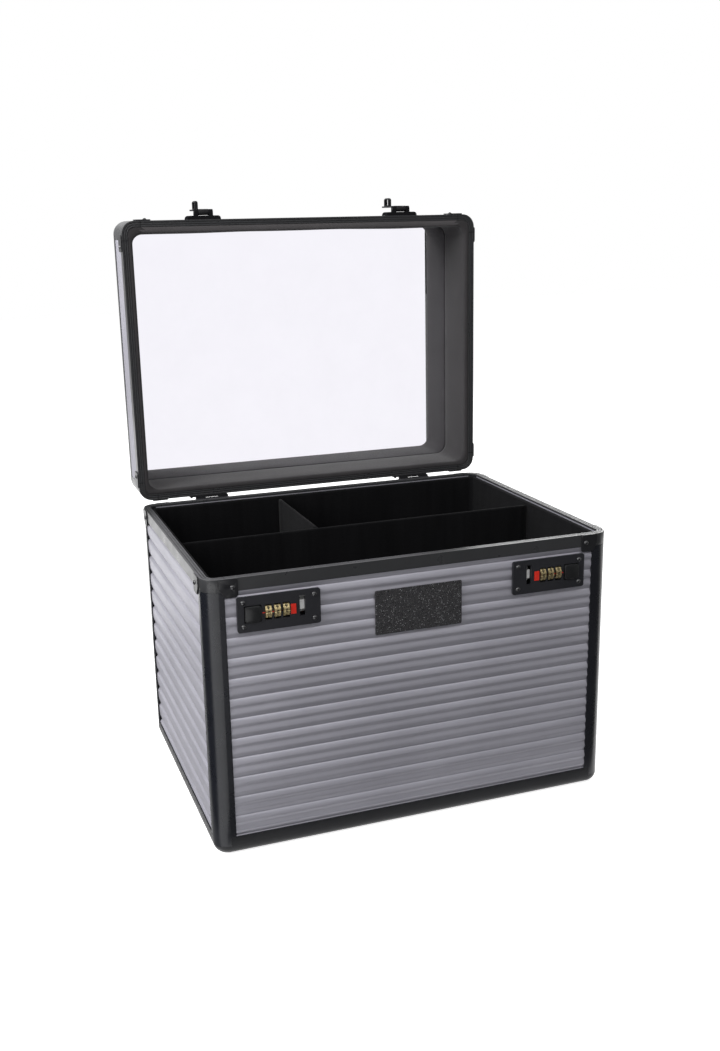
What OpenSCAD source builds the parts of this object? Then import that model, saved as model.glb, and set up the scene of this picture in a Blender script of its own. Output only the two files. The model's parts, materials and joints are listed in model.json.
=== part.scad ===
// Grooming box: a ribbed, framed case with a hinged mirror lid, two combination locks and three
// compartments. Millimetres, +Z up, front towards -Y, origin at the middle of the underside.
// The lid is drawn open; all lid pieces are written in the closed place and turned by lid_pose().

/* [Case] */
// Width over the frame
case_w = 400; // [340:1:460]
// Depth over the frame, front to back
case_d = 296; // [250:1:340]
// Height from the floor to the parting line
case_h = 265; // [220:1:320]

/* [Lid] */
// Height of the lid over the parting line
lid_h = 64; // [58:1:90]
// Gap between the closed lid and the case
lid_gap = 0.5; // [0.3:0.1:1.2]
// Angle at which the lid stands open
lid_open = 90.5; // [60:0.5:92]
// Thickness of the mirror in the lid
mirror_t = 2; // [1.5:0.5:3]
// Thickness of the lid's padded wall lining
lid_liner_t = 6; // [4.5:0.5:8]
// Radius of the lid lining's inner corners
lid_liner_r = 10; // [6:0.5:14]

/* [Frame] */
// Outer radius of the frame's upright corners
corner_r = 14; // [13:0.5:16]
// Outer radius of the frame's long edges
edge_r = 10; // [9:0.5:12]
// Wall of the frame's visible legs
lip_t = 1.6; // [1.2:0.1:2]
// Face width of a corner post
post_w = 19; // [17:0.5:24]
// Face height of a bottom or top rail
rail_h = 18; // [16:0.5:22]
// Face height of a rim
rim_h = 12; // [10:0.5:15]
// Thickness of a rim's flat web at the parting line
rim_web_t = 2.5; // [2:0.1:3.5]
// Width of the case's rim at the parting line
case_rim_w = 7; // [6:0.1:9]
// Width of the lid's rim at the parting line
lid_rim_w = 6.2; // [5.8:0.1:8]
// Width of a groove in a rim
groove_w = 0.9; // [0.6:0.1:1.2]
// Depth of a groove in a rim
groove_depth = 0.8; // [0.4:0.1:1.2]

/* [Panels] */
// Thickness of a case panel without its ribs
panel_t = 5.4; // [4:0.1:6]
// Thickness of a lid panel without its ribs
lid_panel_t = 3.4; // [2.6:0.1:4]
// Height of the ribs
rib_h = 1.5; // [0.8:0.1:1.6]
// Width of a narrow rib
narrow_rib_w = 8.6; // [7:0.1:10]
// Width of a broad rib
broad_rib_w = 10.1; // [9:0.1:14]
// Flat between two ribs
rib_flat = 0.2; // [0.2:0.05:1]

/* [Inside] */
// Thickness of the case's padded wall lining
liner_t = 5; // [4.5:0.5:8]
// Thickness of the pad on the floor
floor_pad_t = 5; // [3:0.5:8]
// How far the lining stops below the parting line
liner_drop = 3; // [2.6:0.1:6]
// Thickness of a divider
divider_t = 4; // [3:0.5:6]
// How far the dividers stop below the parting line
divider_drop = 6; // [4:0.5:60]
// Place of the short divider, left of the middle
short_divider_x = 48; // [20:1:110]

/* [Locks] */
// Middle of a lock, in from the side face of the case
lock_inset = 66.8; // [64:0.1:80]
// Middle of a lock, below the parting line
lock_drop = 34; // [34:0.5:60]
// Width of a lock plate
lock_w = 76; // [76:0.5:84]
// Height of a lock plate
lock_h = 32.5; // [32:0.5:40]
// Thickness of a lock plate
lock_plate_t = 2.6; // [2:0.1:3]
// Depth of a lock case behind its plate
lock_case_depth = 11; // [10.6:0.1:11.4]
// Radius of a number dial
dial_r = 7; // [6.6:0.1:7.2]
// Width of a number dial
dial_w = 5.6; // [5:0.1:6]
// Width of the release button
button_w = 14.6; // [12:0.1:15]
// Height of the release button
button_h = 14.4; // [11:0.1:15]
// Travel of the release button
button_travel = 2; // [1.5:0.1:2.4]
// Width of the slot that takes the hasp
slot_w = 5; // [4.6:0.1:6]
// Height of the slot that takes the hasp
slot_h = 19; // [18:0.5:20]

/* [Hasps] */
// Width of a hasp base
hasp_base_w = 36; // [32:0.5:42]
// Thickness of a hasp base
hasp_base_t = 3.9; // [3.8:0.1:4.2]
// Width of the flap
flap_w = 11; // [9:0.5:13]
// Thickness of the flap
flap_t = 1.6; // [1.2:0.1:2]
// Length of the staple
staple_l = 14; // [13:0.5:14.5]
// Thickness of the staple
staple_t = 3.6; // [2.6:0.1:4]
// Height of the staple on the flap
staple_h = 9; // [8.9:0.1:9.3]

/* [Hinges] */
// Middle of a hinge, in from the side face of the case
hinge_inset = 79; // [60:1:110]
// Width of a hinge
hinge_w = 36; // [28:1:44]
// Distance of the hinge axis behind the back face
hinge_out = 5.3; // [5.2:0.1:7]
// Depth of the hinge axis below the parting line
hinge_drop = 3.8; // [3.6:0.1:5]

/* [Handle] */
// Distance between the handle's two legs
handle_span = 100; // [80:1:140]
// Reach of the handle from its pivots to the grip's middle
handle_reach = 32; // [26:1:60]
// Radius of the soft grip
grip_r = 6.5; // [5:0.1:7]
// Length of the soft grip
grip_l = 68; // [50:1:72]

/* [Hidden] */
$fn = 48;

// Shared by all cuts and fits
overrun = 1;
run_fit = 0.05;
move_gap = 0.3;
slip_gap = 0.2;
seam = 0.1;

// Frame and panels
case_core = lip_t + panel_t;
lid_core = lip_t + lid_panel_t;
lid_top = case_h + lid_gap + lid_h;
rib_root = 0.6;
rib_clear = 0.2;
rib_drop = 1.9;
rib_pitch = narrow_rib_w + broad_rib_w + 2 * rib_flat;
crest_out = max(0, rib_h - lip_t);
groove_insets = [for (share = [0.3, 0.66]) share];
left = -1;
right = 1;

// Lining
liner_inner_r = 4;
liner_out = case_core;
liner_in = case_core + liner_t;
floor_z = case_core + floor_pad_t;
lid_liner_in = lid_core + lid_liner_t;
lid_liner_end_t = 2.5;
mirror_depth = lid_h - lid_core - mirror_t;

// Corner brackets and rivets
bracket_w = 17;
bracket_h = 17;
bracket_t = 1.2;
bracket_r = 2.5;
bracket_cut_w = 5.4;
bracket_cut_h = 8;
bracket_start = corner_r + slip_gap;
rivet_across = 12;
rivet_drop = 8;
rivet_r = 2.3;
rivet_dome = 1.4;
rivet_shank_r = 1.2;

// Badge plate
badge_w = 86;
badge_h = 42.4;
badge_t = 1.2;
badge_r = 1.5;
badge_drop = 49.7;

// Lock, in its own frame: x towards the middle of the case, y into the case, z up
lock_x = case_w / 2 - lock_inset;
lock_z = case_h - lock_drop;
lock_r = 2;
lock_wall = 1;
lock_case_h = 26;
lock_case_x0 = -35.2;
lock_case_x1 = 33.2;
lock_rivet_in = 5.5;
lock_rivet_drop = 5.2;
lock_rivet_x = lock_w / 2 - lock_rivet_in;
lock_rivet_z = lock_h / 2 - lock_rivet_drop;
dial_mid_x = -1.85;
dial_pitch = 8.15;
dial_proud = 2;
dial_y = dial_r - lock_plate_t - dial_proud;
dial_slot_w = dial_w + 2 * move_gap;
dial_slot_h = 2 * sqrt(dial_r * dial_r - dial_y * dial_y) + 4 * move_gap;
dial_notch_r = 0.9;
dial_notch_depth = 0.35;
dial_digits = 10;
axle_r = 1.5;
axle_collar_r = dial_y - move_gap;
axle_web_t = 0.8;
axle_web_gap = 0.2;
axle_web_h = 9;
axle_end_x = 1.5 * dial_pitch - dial_pitch / 2 + dial_w / 2 + axle_web_gap + axle_web_t;
button_x = -24;
button_r = 2.2;
button_proud = 2.2;
button_flange = 1.3;
button_flange_t = 1.2;
button_crown_r = 40;
window_gap = 0.6;
spring_r = 3;
spring_wall = 0.6;
reset_x = 12.9;
reset_w = 5;
reset_h = 9.2;
reset_proud = 0.5;
reset_flange = 1.3;
reset_flange_t = 0.8;
slot_x = 21.2;
slot_z = 2;
catch_h = 8.6;
catch_plate_h = 16;
catch_plate_t = 1.2;
catch_nose_t = 2.3;
catch_past = 0.4;
catch_web_t = 2.2;
catch_travel = staple_t + 2 * catch_past;

// Hasp: the pivot stands in front of the lid's front face
knuckle_r = 3.2;
hasp_pivot_out = hasp_base_t + knuckle_r + move_gap;
hasp_pin_r = 1.5;
ear_w = 4.2;
ear_r = 3;
hasp_base_h = 15;
hasp_base_r = 3.4;
hasp_base_lift = 1.5;
hasp_pivot_lift = 6;
hasp_pivot_z = case_h + lid_gap + hasp_pivot_lift;
hasp_x = lock_x - slot_x;
staple_reach = hasp_pivot_z - (lock_z + slot_z);
staple_end_y = knuckle_r - hasp_pivot_out + crest_out + staple_h;
staple_wall = 2;
staple_r = 3;
staple_bar_t = 1.8;
flap_tail = 8.5;
pin_l = flap_w + 2 * (ear_w + move_gap);

// Hinge
hinge_x = case_w / 2 - hinge_inset;
hinge_r = 3.6;
hinge_pin_r = 1.5;
leaf_t = 1.4;
leaf_l = 20;
body_knuckle_w = 14;
prong_w = 1.6;
prong_gap = 4;
leaf_clear = 0.4;
heel_t = 2;
heel_l = 7;
hinge_y = case_d / 2 + hinge_out;
hinge_z = case_h - hinge_drop;
leaf_back = leaf_t + move_gap;

// Handle
handle_wire_r = 4;
handle_eye_r = 5;
handle_eye_w = 10;
handle_bend_r = 10;
handle_pivot_up = 8.2;
handle_back = 8;
handle_base_l = 26;
handle_base_t = 2;
handle_ear_w = (pin_l - handle_eye_w) / 2 - move_gap;
handle_pivot_z = lid_top + crest_out + handle_pivot_up;

// Flat outlines

// Rectangle with round corners, about the origin
module rounded_rect(w, d, r) {
    square([w - 2 * r, d], center = true);
    square([w, d - 2 * r], center = true);
    for (sx = [-1, 1], sy = [-1, 1])
        translate([sx * (w / 2 - r), sy * (d / 2 - r)]) circle(r = r);
}

// The case's plan outline, drawn in from the outer faces
module plan(inset, r) {
    rounded_rect(case_w - 2 * inset, case_d - 2 * inset, r);
}

// Band between two insets of the plan, its corners concentric with the frame's
module plan_band(outer, inner) {
    difference() {
        plan(outer, corner_r - outer);
        plan(inner, corner_r - inner);
    }
}

// Quarter ring of an edge of radius r in the corner of its two outer faces, from inset a to inset b
module edge_arc(r, a, b) {
    intersection() {
        translate([r, r]) difference() {
            circle(r = r - a);
            circle(r = r - b);
        }
        square(r);
    }
}

// Cross section of one rib on the line y = 0, cut at lo and hi along x
module rib_section(w, lo, hi) {
    r = (w * w / 4 + rib_h * rib_h) / (2 * rib_h);
    intersection() {
        translate([0, rib_h - r]) circle(r = r);
        translate([lo, -rib_root]) square([hi - lo, rib_root + rib_h + overrun]);
    }
}

// Row of ribs between lo and hi along x, counted down from hi
module rib_row(lo, hi) {
    for (i = [-1 : ceil((hi - lo) / rib_pitch)], broad = [0, 1]) {
        w = broad ? broad_rib_w : narrow_rib_w;
        top = hi - rib_drop - i * rib_pitch - broad * (narrow_rib_w + rib_flat);
        mid = top - w / 2;
        a = max(lo - mid, -w / 2);
        b = min(hi - mid, w / 2);
        if (b - a > rib_root) translate([mid, 0]) rib_section(w, a, b);
    }
}

// Places

// Puts a piece drawn for the front, outer face on y = 0, on side i: front, right, back, left
module on_side(i) {
    out = i % 2 == 0 ? case_d / 2 : case_w / 2;
    rotate([0, 0, 90 * i]) translate([0, -out, 0]) children();
}

// Length of side i over the frame
function side_l(i) = i % 2 == 0 ? case_w : case_d;

// Puts a piece drawn at the corner of two outer faces, x and y inwards, on all four corners
module on_corners() {
    for (sx = [0, 1], sy = [0, 1])
        mirror([sx, 0, 0]) mirror([0, sy, 0]) translate([-case_w / 2, -case_d / 2, 0]) children();
}

// Turns a piece of the closed lid to where the open lid holds it
module lid_pose() {
    translate([0, hinge_y, hinge_z]) rotate([-lid_open, 0, 0]) translate([0, -hinge_y, -hinge_z])
        children();
}

// Stands a half drawn from its closed end up to the parting line on its head, as the lid
module as_lid() {
    lid_pose() translate([0, 0, lid_top]) mirror([0, 0, 1]) children();
}

// Puts a lock piece on the left or right of the front
module at_lock(side) {
    mirror([side == right ? 1 : 0, 0, 0]) translate([-lock_x, -case_d / 2 - crest_out, lock_z]) children();
}

// Frame of one half, from its closed end at z = 0 to the parting line at z = h

// Corner post: round core, two face legs and a tongue that carries the rim
module post(h, core) {
    translate([0, 0, edge_r]) linear_extrude(h - rim_h - edge_r) edge_arc(corner_r, 0, core);
    translate([0, 0, rail_h]) linear_extrude(h - rim_h - rail_h) {
        translate([corner_r, 0]) square([post_w - corner_r, lip_t]);
        translate([0, corner_r]) square([lip_t, post_w - corner_r]);
    }
    translate([0, 0, h - rim_h]) linear_extrude(rim_h - rim_web_t) edge_arc(corner_r, lip_t + seam, core);
}

// Edge rail of side i: round core with a face leg and a flat leg; the side rails' flat legs stop short
// of the front and back ones
module rail(i, core) {
    l = side_l(i) - 2 * (corner_r + seam);
    leg = rail_h - edge_r;
    cut = rail_h - corner_r;
    rotate([90, 0, 90]) difference() {
        linear_extrude(l, center = true) {
            edge_arc(edge_r, 0, core);
            translate([0, edge_r]) square([lip_t, leg]);
            translate([edge_r, 0]) square([leg, lip_t]);
        }
        if (i % 2 == 1) for (end = [-1, 1])
            translate([corner_r, -overrun, end * l / 2 - cut])
                cube([cut + overrun, lip_t + 2 * overrun, 2 * cut]);
    }
}

// Ball corner between a post and two rails: the rails' round carried round the post's axis
module ball_corner(core) {
    translate([corner_r, corner_r, 0]) rotate([0, 0, 180]) rotate_extrude(angle = 90)
        union() {
            square([corner_r - edge_r, core]);
            translate([corner_r, 0]) mirror([1, 0]) edge_arc(edge_r, 0, core);
        }
}

// Rim: a skirt over the panels and a grooved web along the parting line
module rim(h, w) {
    difference() {
        union() {
            translate([0, 0, h - rim_h]) linear_extrude(rim_h) plan_band(0, lip_t);
            translate([0, 0, h - rim_web_t]) linear_extrude(rim_web_t) plan_band(0, w);
        }
        for (share = groove_insets)
            translate([0, 0, h - groove_depth]) linear_extrude(groove_depth + overrun)
                plan_band(share * w, share * w + groove_w);
    }
}

// Ribbed wall panel of side i, seated behind the posts, the rail and the rim
module wall_panel(i, h, t) {
    l = side_l(i) - 2 * corner_r;
    ribs_l = side_l(i) - 2 * (post_w + rib_clear);
    translate([-l / 2, lip_t, edge_r]) cube([l, t, h - rim_web_t - edge_r]);
    translate([0, lip_t, 0]) rotate([180, -90, 0]) linear_extrude(ribs_l, center = true)
        rib_row(rail_h + rib_clear, h - rim_h - rib_clear);
}

// Flat panel across the closed end, between the rails, its corners cut out for the ball corners
module end_panel(t) {
    translate([0, 0, lip_t]) linear_extrude(t) {
        square([case_w - 2 * edge_r, case_d - 2 * corner_r], center = true);
        square([case_w - 2 * corner_r, case_d - 2 * edge_r], center = true);
    }
}

// Riveted plate at each end of side i, flush with the parting line
module brackets(i, h) {
    for (end = [0, 1])
        mirror([end, 0, 0])
            translate([bracket_start - side_l(i) / 2 + bracket_w / 2, 0, h - bracket_h / 2])
            rotate([90, 0, 0]) linear_extrude(bracket_t) difference() {
                rounded_rect(bracket_w, bracket_h, bracket_r);
                translate([rivet_across - bracket_w / 2, bracket_h / 2 - rivet_drop])
                    circle(r = rivet_shank_r);
                translate([-bracket_w / 2, -bracket_h / 2]) polygon([
                    [-overrun, -overrun], [bracket_cut_w, -overrun], [bracket_cut_w, 0],
                    [0, bracket_cut_h], [-overrun, bracket_cut_h],
                ]);
            }
}

// Domed rivet, its head on z = 0 and its shank below
module rivet(shank_l) {
    dome_r = (rivet_r * rivet_r + rivet_dome * rivet_dome) / (2 * rivet_dome);
    intersection() {
        translate([0, 0, rivet_dome - dome_r]) sphere(r = dome_r);
        cylinder(r = rivet_r, h = rivet_dome + overrun);
    }
    translate([0, 0, -shank_l]) cylinder(r = rivet_shank_r, h = shank_l + rivet_dome / 2);
}

// Rivets of the brackets at both ends of side i
module bracket_rivets(i, h) {
    for (end = [0, 1])
        mirror([end, 0, 0])
            translate([bracket_start - side_l(i) / 2 + rivet_across, -bracket_t, h - rivet_drop])
                rotate([90, 0, 0]) rivet(bracket_t);
}

// Case

module corner_posts() {
    color("#26272b") on_corners() post(case_h, case_core);
}

module bottom_rails() {
    color("#26272b") for (i = [0 : 3]) on_side(i) rail(i, case_core);
}

module bottom_corners() {
    color("#26272b") on_corners() ball_corner(case_core);
}

module body_rim() {
    color("#2b2c30") rim(case_h, case_rim_w);
}

// The front panel has an opening for each lock
module front_panel() {
    color("#85828c") difference() {
        on_side(0) wall_panel(0, case_h, panel_t);
        for (side = [left, right])
            at_lock(side) lock_pocket(-rib_h - overrun, case_core + crest_out + overrun);
    }
}

module plain_panel(i) {
    color("#85828c") on_side(i) wall_panel(i, case_h, panel_t);
}

// The panel under the case comes flush with the rails round it, so the case stands flat
module bottom_panel() {
    w = case_w - 2 * (rail_h + rib_clear);
    d = case_d - 2 * (rail_h + rib_clear);
    color("#1f2023") {
        end_panel(panel_t);
        translate([-w / 2, -d / 2, 0]) cube([w, d, lip_t + rib_root]);
    }
}

// The lining has a blind pocket behind each lock
module wall_liner() {
    color("#161618") difference() {
        translate([0, 0, edge_r]) linear_extrude(case_h - liner_drop - edge_r) difference() {
            plan(liner_out, corner_r - liner_out);
            plan(liner_in, liner_inner_r);
        }
        for (side = [left, right]) at_lock(side) lock_pocket(-overrun, lock_case_depth + slip_gap);
    }
}

module floor_pad() {
    color("#161618") translate([0, 0, case_core]) linear_extrude(floor_pad_t)
        plan(liner_in, liner_inner_r);
}

module long_divider() {
    w = case_w - 2 * liner_in;
    color("#18181a") translate([-w / 2, -divider_t / 2, floor_z])
        cube([w, divider_t, case_h - divider_drop - floor_z]);
}

module short_divider() {
    color("#18181a") translate([-short_divider_x - divider_t / 2, divider_t / 2, floor_z])
        cube([divider_t, case_d / 2 - liner_in - divider_t / 2, case_h - divider_drop - floor_z]);
}

module body_brackets() {
    color("#232327") for (i = [0 : 3]) on_side(i) brackets(i, case_h);
}

module body_rivets() {
    color("#3a3a40") for (i = [0 : 3]) on_side(i) bracket_rivets(i, case_h);
}

// Plain plate on the ribs in the middle of the front
module badge_plate() {
    color("#1b1b1e") translate([0, -case_d / 2 - crest_out, case_h - badge_drop])
        rotate([90, 0, 0]) linear_extrude(badge_t) rounded_rect(badge_w, badge_h, badge_r);
}

// Hinges

module at_hinges() {
    for (side = [left, right]) translate([side * hinge_x, 0, 0]) children();
}

// Cylinder along x about the hinge axis, over x0 to x1
module hinge_rod(r, x0, x1) {
    translate([x0, hinge_y, hinge_z]) rotate([0, 90, 0]) cylinder(r = r, h = x1 - x0);
}

// Leaf on the case's back with one knuckle in the middle
module hinge_body_leaves() {
    k = body_knuckle_w / 2;
    color("#2b2c30") at_hinges() difference() {
        union() {
            translate([-hinge_w / 2, case_d / 2, hinge_z - leaf_clear - leaf_l])
                cube([hinge_w, leaf_t, leaf_l]);
            translate([-k, case_d / 2, hinge_z - hinge_r])
                cube([body_knuckle_w, hinge_out, hinge_r - leaf_clear]);
            hinge_rod(hinge_r, -k, k);
        }
        hinge_rod(hinge_pin_r, -k - overrun, k + overrun);
    }
}

module hinge_pins() {
    color("#8d8f94") at_hinges() hinge_rod(hinge_pin_r, -hinge_w / 2, hinge_w / 2);
}

// Leaf on the lid's back: two knuckles, a heel on each that stops the open lid, and a thin prong
module hinge_lid_leaves() {
    k = body_knuckle_w / 2 + move_gap;
    end = hinge_w / 2;
    wall_z = case_h + lid_gap;
    color("#2b2c30") lid_pose() at_hinges() difference() {
        union() {
            translate([-end - prong_gap - prong_w, case_d / 2, wall_z + leaf_clear])
                cube([hinge_w + prong_gap + prong_w, leaf_t, leaf_l]);
            translate([-end, case_d / 2 + move_gap, hinge_z])
                cube([hinge_w, leaf_t - move_gap, wall_z + leaf_l / 2 - hinge_z]);
            translate([-end - prong_gap - prong_w, case_d / 2 + move_gap, hinge_z])
                cube([prong_w, leaf_t - move_gap, wall_z + leaf_l / 2 - hinge_z]);
            for (side = [0, 1]) mirror([side, 0, 0]) {
                hinge_rod(hinge_r, k, end);
                translate([k, case_d / 2 + move_gap, hinge_z]) cube([end - k, hinge_out - move_gap, hinge_r]);
                translate([k, hinge_y, hinge_z + leaf_back - hinge_out]) cube([end - k, heel_l, heel_t]);
            }
        }
        hinge_rod(hinge_pin_r + run_fit, -end - overrun, end + overrun);
    }
}

// Locks

// Prism over the lock case's outline with play, from y0 to y1
module lock_pocket(y0, y1) {
    translate([lock_case_x0 - slip_gap, y0, -lock_case_h / 2 - slip_gap])
        cube([lock_case_x1 - lock_case_x0 + 2 * slip_gap, y1 - y0, lock_case_h + 2 * slip_gap]);
}

function dial_x(i) = dial_mid_x + (i - 2) * dial_pitch;

// Cylinder along x about the dial axis, over x0 to x1
module dial_rod(r, x0, x1) {
    translate([x0, dial_y, 0]) rotate([0, 90, 0]) cylinder(r = r, h = x1 - x0);
}

module lock_plate(side) {
    color("#222327") at_lock(side) rotate([90, 0, 0]) linear_extrude(lock_plate_t) difference() {
        rounded_rect(lock_w, lock_h, lock_r);
        translate([button_x, 0])
            square([button_w + 2 * window_gap, button_h + 2 * window_gap], center = true);
        for (i = [1 : 3]) translate([dial_x(i), 0]) square([dial_slot_w, dial_slot_h], center = true);
        translate([reset_x, 0]) square([reset_w + 2 * move_gap, reset_h + 2 * move_gap], center = true);
        translate([slot_x, slot_z]) square([slot_w, slot_h], center = true);
        for (sx = [-1, 1], sz = [-1, 1])
            translate([sx * lock_rivet_x, sz * lock_rivet_z]) circle(r = rivet_shank_r);
    }
}

// Open box behind the plate with two webs that hold the dial axle
module lock_case(side) {
    w = lock_case_x1 - lock_case_x0;
    inner_d = lock_case_depth - lock_wall;
    color("#3c3d42") at_lock(side) difference() {
        union() {
            difference() {
                translate([lock_case_x0, 0, -lock_case_h / 2]) cube([w, lock_case_depth, lock_case_h]);
                translate([lock_case_x0 + lock_wall, -overrun, lock_wall - lock_case_h / 2])
                    cube([w - 2 * lock_wall, inner_d + overrun, lock_case_h - 2 * lock_wall]);
            }
            for (end = [-1, 1])
                translate([dial_mid_x + end * (axle_end_x - axle_web_t / 2), 0, -axle_web_h / 2])
                    translate([-axle_web_t / 2, 0, 0]) cube([axle_web_t, inner_d + lock_wall / 2, axle_web_h]);
        }
        dial_rod(axle_r, dial_mid_x - axle_end_x, dial_mid_x + axle_end_x);
    }
}

// Axle of each lock's dials, with collars that keep the dials apart
module dial_axles() {
    color("#9a9ca0") for (side = [left, right]) at_lock(side) {
        dial_rod(axle_r, dial_mid_x - axle_end_x, dial_mid_x + axle_end_x);
        for (i = [1, 2])
            dial_rod(axle_collar_r, dial_x(i) + dial_w / 2 + slip_gap, dial_x(i + 1) - dial_w / 2 - slip_gap);
    }
}

// Number dial with a notch between every two digits
module dial(side, i) {
    notch_at = dial_r + dial_notch_r - dial_notch_depth;
    color("#c9a85a") at_lock(side) difference() {
        dial_rod(dial_r, dial_x(i) - dial_w / 2, dial_x(i) + dial_w / 2);
        dial_rod(axle_r + run_fit, dial_x(i) - dial_w, dial_x(i) + dial_w);
        for (k = [0 : dial_digits - 1])
            translate([dial_x(i), dial_y, 0]) rotate([(k + 0.5) * 360 / dial_digits, 0, 0])
                translate([-dial_w, 0, notch_at]) rotate([0, 90, 0])
                    cylinder(r = dial_notch_r, h = 2 * dial_w);
    }
}

module lock_rivets() {
    color("#3a3a40") for (side = [left, right], sx = [-1, 1], sz = [-1, 1])
        at_lock(side) translate([sx * lock_rivet_x, -lock_plate_t, sz * lock_rivet_z])
            rotate([90, 0, 0]) rivet(lock_plate_t);
}

// Push button with a gently crowned face and a flange behind the plate
module release_button(side) {
    face_y = -lock_plate_t - button_proud;
    color("#17181a") at_lock(side) translate([button_x, 0, 0]) {
        intersection() {
            translate([0, move_gap + button_flange_t / 2, 0]) rotate([90, 0, 0])
                linear_extrude(move_gap + button_flange_t / 2 - face_y)
                    rounded_rect(button_w, button_h, button_r);
            translate([-button_w, face_y + button_crown_r, 0]) rotate([0, 90, 0])
                cylinder(r = button_crown_r, h = 2 * button_w);
        }
        translate([0, move_gap + button_flange_t, 0]) rotate([90, 0, 0]) linear_extrude(button_flange_t)
            square([button_w + 2 * button_flange, button_h + 2 * button_flange], center = true);
    }
}

// Return spring between the button's flange and the lock case
module lock_spring(side) {
    y0 = move_gap + button_flange_t;
    color("#b4b6ba") at_lock(side) translate([button_x, y0, 0]) rotate([-90, 0, 0])
        linear_extrude(lock_case_depth - lock_wall - y0) difference() {
            circle(r = spring_r);
            circle(r = spring_r - spring_wall);
        }
}

// Catch: a nose through the staple, carried by a plate that shows at the bottom of the slot
module lock_catch(side) {
    tip_x = slot_x - staple_t / 2 - catch_past;
    web_x = slot_x + slot_w / 2 + catch_past;
    plate_y = staple_end_y + catch_past;
    color("#c8cacd") at_lock(side) translate([0, 0, slot_z]) {
        translate([tip_x, catch_past, -catch_h / 2])
            cube([web_x + catch_web_t - tip_x, catch_nose_t, catch_h]);
        translate([web_x, catch_past, -catch_h / 2])
            cube([catch_web_t, plate_y + catch_plate_t - catch_past, catch_h]);
        translate([tip_x, plate_y, -catch_plate_h / 2])
            cube([web_x + catch_web_t - tip_x, catch_plate_t, catch_plate_h]);
    }
}

// Small red push button beside the dials
module reset_button(side) {
    color("#c3241d") at_lock(side) translate([reset_x, 0, 0]) {
        translate([-reset_w / 2, -lock_plate_t - reset_proud, -reset_h / 2])
            cube([reset_w, lock_plate_t + reset_proud + move_gap + reset_flange_t, reset_h]);
        translate([-reset_w / 2, move_gap, -reset_h / 2 - reset_flange])
            cube([reset_w, reset_flange_t, reset_h + 2 * reset_flange]);
    }
}

// Lid

module lid_rim() {
    color("#2b2c30") as_lid() rim(lid_h, lid_rim_w);
}

module lid_posts() {
    color("#26272b") as_lid() on_corners() post(lid_h, lid_core);
}

module lid_top_rails() {
    color("#26272b") as_lid() for (i = [0 : 3]) on_side(i) rail(i, lid_core);
}

module lid_top_corners() {
    color("#26272b") as_lid() on_corners() ball_corner(lid_core);
}

module lid_panel(i) {
    color("#85828c") as_lid() on_side(i) wall_panel(i, lid_h, lid_panel_t);
}

// Ribbed panel on top of the lid, its ribs running left to right
module lid_top_panel() {
    edge = case_d / 2 - rail_h - rib_clear;
    color("#85828c") as_lid() {
        end_panel(lid_panel_t);
        translate([0, 0, lip_t]) rotate([90, 0, 0]) rotate([180, -90, 0])
            linear_extrude(case_w - 2 * (rail_h + rib_clear), center = true) rib_row(-edge, edge);
    }
}

// Padded wall lining, with a thinner end that holds the mirror's edge and a lip inside the rim
module lid_liner() {
    step = lid_h - edge_r;
    color("#4b484a") as_lid() difference() {
        union() {
            translate([0, 0, edge_r]) linear_extrude(step - rim_web_t)
                plan(lid_core + seam, corner_r - lid_core - seam);
            translate([0, 0, lid_h - mirror_depth]) linear_extrude(mirror_depth - rim_web_t)
                plan(lid_liner_in - lid_liner_end_t, lid_liner_r + lid_liner_end_t);
            translate([0, 0, lid_h - rim_web_t]) linear_extrude(rim_web_t - slip_gap)
                plan(lid_rim_w + seam, corner_r - lid_rim_w - seam);
        }
        linear_extrude(lid_h + overrun) plan(lid_liner_in, lid_liner_r);
    }
}

module mirror_sheet() {
    color("#dfe2ea") as_lid() translate([0, 0, lid_core]) linear_extrude(mirror_t) plan(edge_r, lid_liner_r);
}

module lid_brackets() {
    color("#232327") as_lid() for (i = [0 : 3]) on_side(i) brackets(i, lid_h);
}

module lid_rivets() {
    color("#3a3a40") as_lid() for (i = [0 : 3]) on_side(i) bracket_rivets(i, lid_h);
}

// Hasps

// Puts a hasp piece on the closed lid's front: origin at the pivot, y away from the case's middle
module at_hasp(side) {
    lid_pose() translate([side * hasp_x, -case_d / 2 - hasp_pivot_out, hasp_pivot_z]) children();
}

// Cylinder along x about a pivot at the origin, w wide
module pivot_rod(r, w) {
    rotate([0, 90, 0]) cylinder(r = r, h = w, center = true);
}

// Base with two ears that hold the flap's pin
module hasp_base(side) {
    ear_x = flap_w / 2 + move_gap;
    color("#232327") at_hasp(side) difference() {
        union() {
            translate([0, hasp_pivot_out - crest_out, hasp_base_lift - hasp_pivot_lift])
                linear_extrude(hasp_base_h) intersection() {
                    rounded_rect(hasp_base_w, 2 * hasp_base_t, hasp_base_r);
                    translate([-hasp_base_w / 2, -hasp_base_t]) square([hasp_base_w, hasp_base_t]);
                }
            for (end = [0, 1]) mirror([end, 0, 0]) translate([ear_x, 0, 0]) {
                translate([ear_w / 2, 0, 0]) pivot_rod(ear_r, ear_w);
                translate([0, 0, -ear_r])
                    cube([ear_w, hasp_pivot_out - crest_out - hasp_base_t / 2, 2 * ear_r]);
            }
        }
        pivot_rod(hasp_pin_r, pin_l + overrun);
    }
}

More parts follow.
